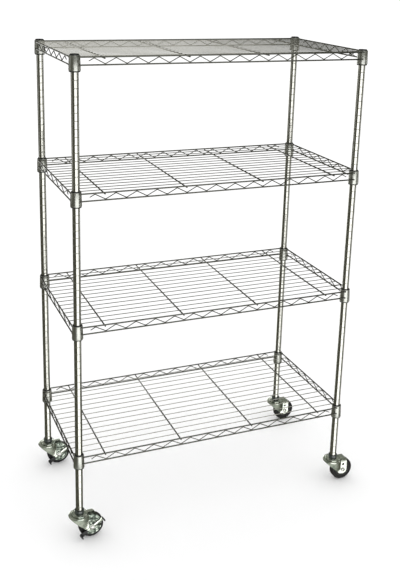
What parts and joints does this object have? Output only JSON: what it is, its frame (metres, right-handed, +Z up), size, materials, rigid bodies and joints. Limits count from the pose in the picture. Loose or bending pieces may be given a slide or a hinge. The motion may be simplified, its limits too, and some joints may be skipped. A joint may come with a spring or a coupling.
{
  "type": "wire shelf cart",
  "caption": "Tall chrome wire shelving cart: grooved posts, open wire shelves on split sleeves, and swivel casters, the left ones with brake levers.",
  "frame": {"origin": "on the floor, under the middle of the whole cart with the casters trailing to +X", "axes": "+Z up, +X along the long side of the shelves, front towards -Y"},
  "size_m": [1.1526, 0.567, 1.7044],
  "materials": {
    "shelf_wire": "bright chrome-plated steel wire",
    "post_chrome": "bright chrome-plated steel tube",
    "sleeve_plastic": "black moulded plastic",
    "cap_plastic": "black moulded plastic",
    "foot_plastic": "black moulded plastic",
    "caster_zinc": "zinc-plated pressed steel",
    "caster_bolt": "zinc-plated steel",
    "lever_zinc": "zinc-plated steel strip with dark ends",
    "hub_plastic": "dark moulded plastic",
    "tyre_rubber": "black rubber"
  },
  "bodies": {
    "cart": {"shelf_1": "shelf_wire", "sleeve_1_front_left": "sleeve_plastic", "sleeve_1_front_right": "sleeve_plastic", "sleeve_1_back_left": "sleeve_plastic", "sleeve_1_back_right": "sleeve_plastic", "shelf_2": "shelf_wire", "sleeve_2_front_left": "sleeve_plastic", "sleeve_2_front_right": "sleeve_plastic", "sleeve_2_back_left": "sleeve_plastic", "sleeve_2_back_right": "sleeve_plastic", "shelf_3": "shelf_wire", "sleeve_3_front_left": "sleeve_plastic", "sleeve_3_front_right": "sleeve_plastic", "sleeve_3_back_left": "sleeve_plastic", "sleeve_3_back_right": "sleeve_plastic", "shelf_4": "shelf_wire", "sleeve_4_front_left": "sleeve_plastic", "sleeve_4_front_right": "sleeve_plastic", "sleeve_4_back_left": "sleeve_plastic", "sleeve_4_back_right": "sleeve_plastic", "post_front_left": "post_chrome", "cap_front_left": "cap_plastic", "foot_front_left": "foot_plastic", "stem_front_left": "caster_zinc", "raceway_front_left": "caster_zinc", "post_front_right": "post_chrome", "cap_front_right": "cap_plastic", "foot_front_right": "foot_plastic", "stem_front_right": "caster_zinc", "raceway_front_right": "caster_zinc", "post_back_left": "post_chrome", "cap_back_left": "cap_plastic", "foot_back_left": "foot_plastic", "stem_back_left": "caster_zinc", "raceway_back_left": "caster_zinc", "post_back_right": "post_chrome", "cap_back_right": "cap_plastic", "foot_back_right": "foot_plastic", "stem_back_right": "caster_zinc", "raceway_back_right": "caster_zinc"},
    "swivel_front_left": {"fork_front_left": "caster_zinc", "axle_front_left": "caster_bolt"},
    "wheel_front_left": {"hub_front_left": "hub_plastic", "tyre_front_left": "tyre_rubber"},
    "swivel_front_right": {"fork_front_right": "caster_zinc", "axle_front_right": "caster_bolt"},
    "wheel_front_right": {"hub_front_right": "hub_plastic", "tyre_front_right": "tyre_rubber"},
    "swivel_back_left": {"fork_back_left": "caster_zinc", "axle_back_left": "caster_bolt"},
    "wheel_back_left": {"hub_back_left": "hub_plastic", "tyre_back_left": "tyre_rubber"},
    "swivel_back_right": {"fork_back_right": "caster_zinc", "axle_back_right": "caster_bolt"},
    "wheel_back_right": {"hub_back_right": "hub_plastic", "tyre_back_right": "tyre_rubber"},
    "brake_front_left": {"brake_lever_front_left": "lever_zinc"},
    "brake_back_left": {"brake_lever_back_left": "lever_zinc"}
  },
  "joints": [
    {"name": "swivel_front_left", "type": "hinge", "parent": "cart", "child": "swivel_front_left", "pos_m": [-0.53725, -0.2475, 0], "axis": [0, 0, 1], "continuous": true},
    {"name": "roll_front_left", "type": "hinge", "parent": "swivel_front_left", "child": "wheel_front_left", "pos_m": [-0.49725, -0.2475, 0.0445], "axis": [0, 1, 0], "continuous": true},
    {"name": "swivel_front_right", "type": "hinge", "parent": "cart", "child": "swivel_front_right", "pos_m": [0.49175, -0.2475, 0], "axis": [0, 0, 1], "continuous": true},
    {"name": "roll_front_right", "type": "hinge", "parent": "swivel_front_right", "child": "wheel_front_right", "pos_m": [0.53175, -0.2475, 0.0445], "axis": [0, 1, 0], "continuous": true},
    {"name": "swivel_back_left", "type": "hinge", "parent": "cart", "child": "swivel_back_left", "pos_m": [-0.53725, 0.2475, 0], "axis": [0, 0, 1], "continuous": true},
    {"name": "roll_back_left", "type": "hinge", "parent": "swivel_back_left", "child": "wheel_back_left", "pos_m": [-0.49725, 0.2475, 0.0445], "axis": [0, 1, 0], "continuous": true},
    {"name": "swivel_back_right", "type": "hinge", "parent": "cart", "child": "swivel_back_right", "pos_m": [0.49175, 0.2475, 0], "axis": [0, 0, 1], "continuous": true},
    {"name": "roll_back_right", "type": "hinge", "parent": "swivel_back_right", "child": "wheel_back_right", "pos_m": [0.53175, 0.2475, 0.0445], "axis": [0, 1, 0], "continuous": true},
    {"name": "brake_front_left", "type": "hinge", "parent": "swivel_front_left", "child": "brake_front_left", "pos_m": [-0.49725, -0.2475, 0.0445], "axis": [0, 1, 0], "range_deg": [0, 25]},
    {"name": "brake_back_left", "type": "hinge", "parent": "swivel_back_left", "child": "brake_back_left", "pos_m": [-0.49725, 0.2475, 0.0445], "axis": [0, 1, 0], "range_deg": [0, 25]}
  ]
}
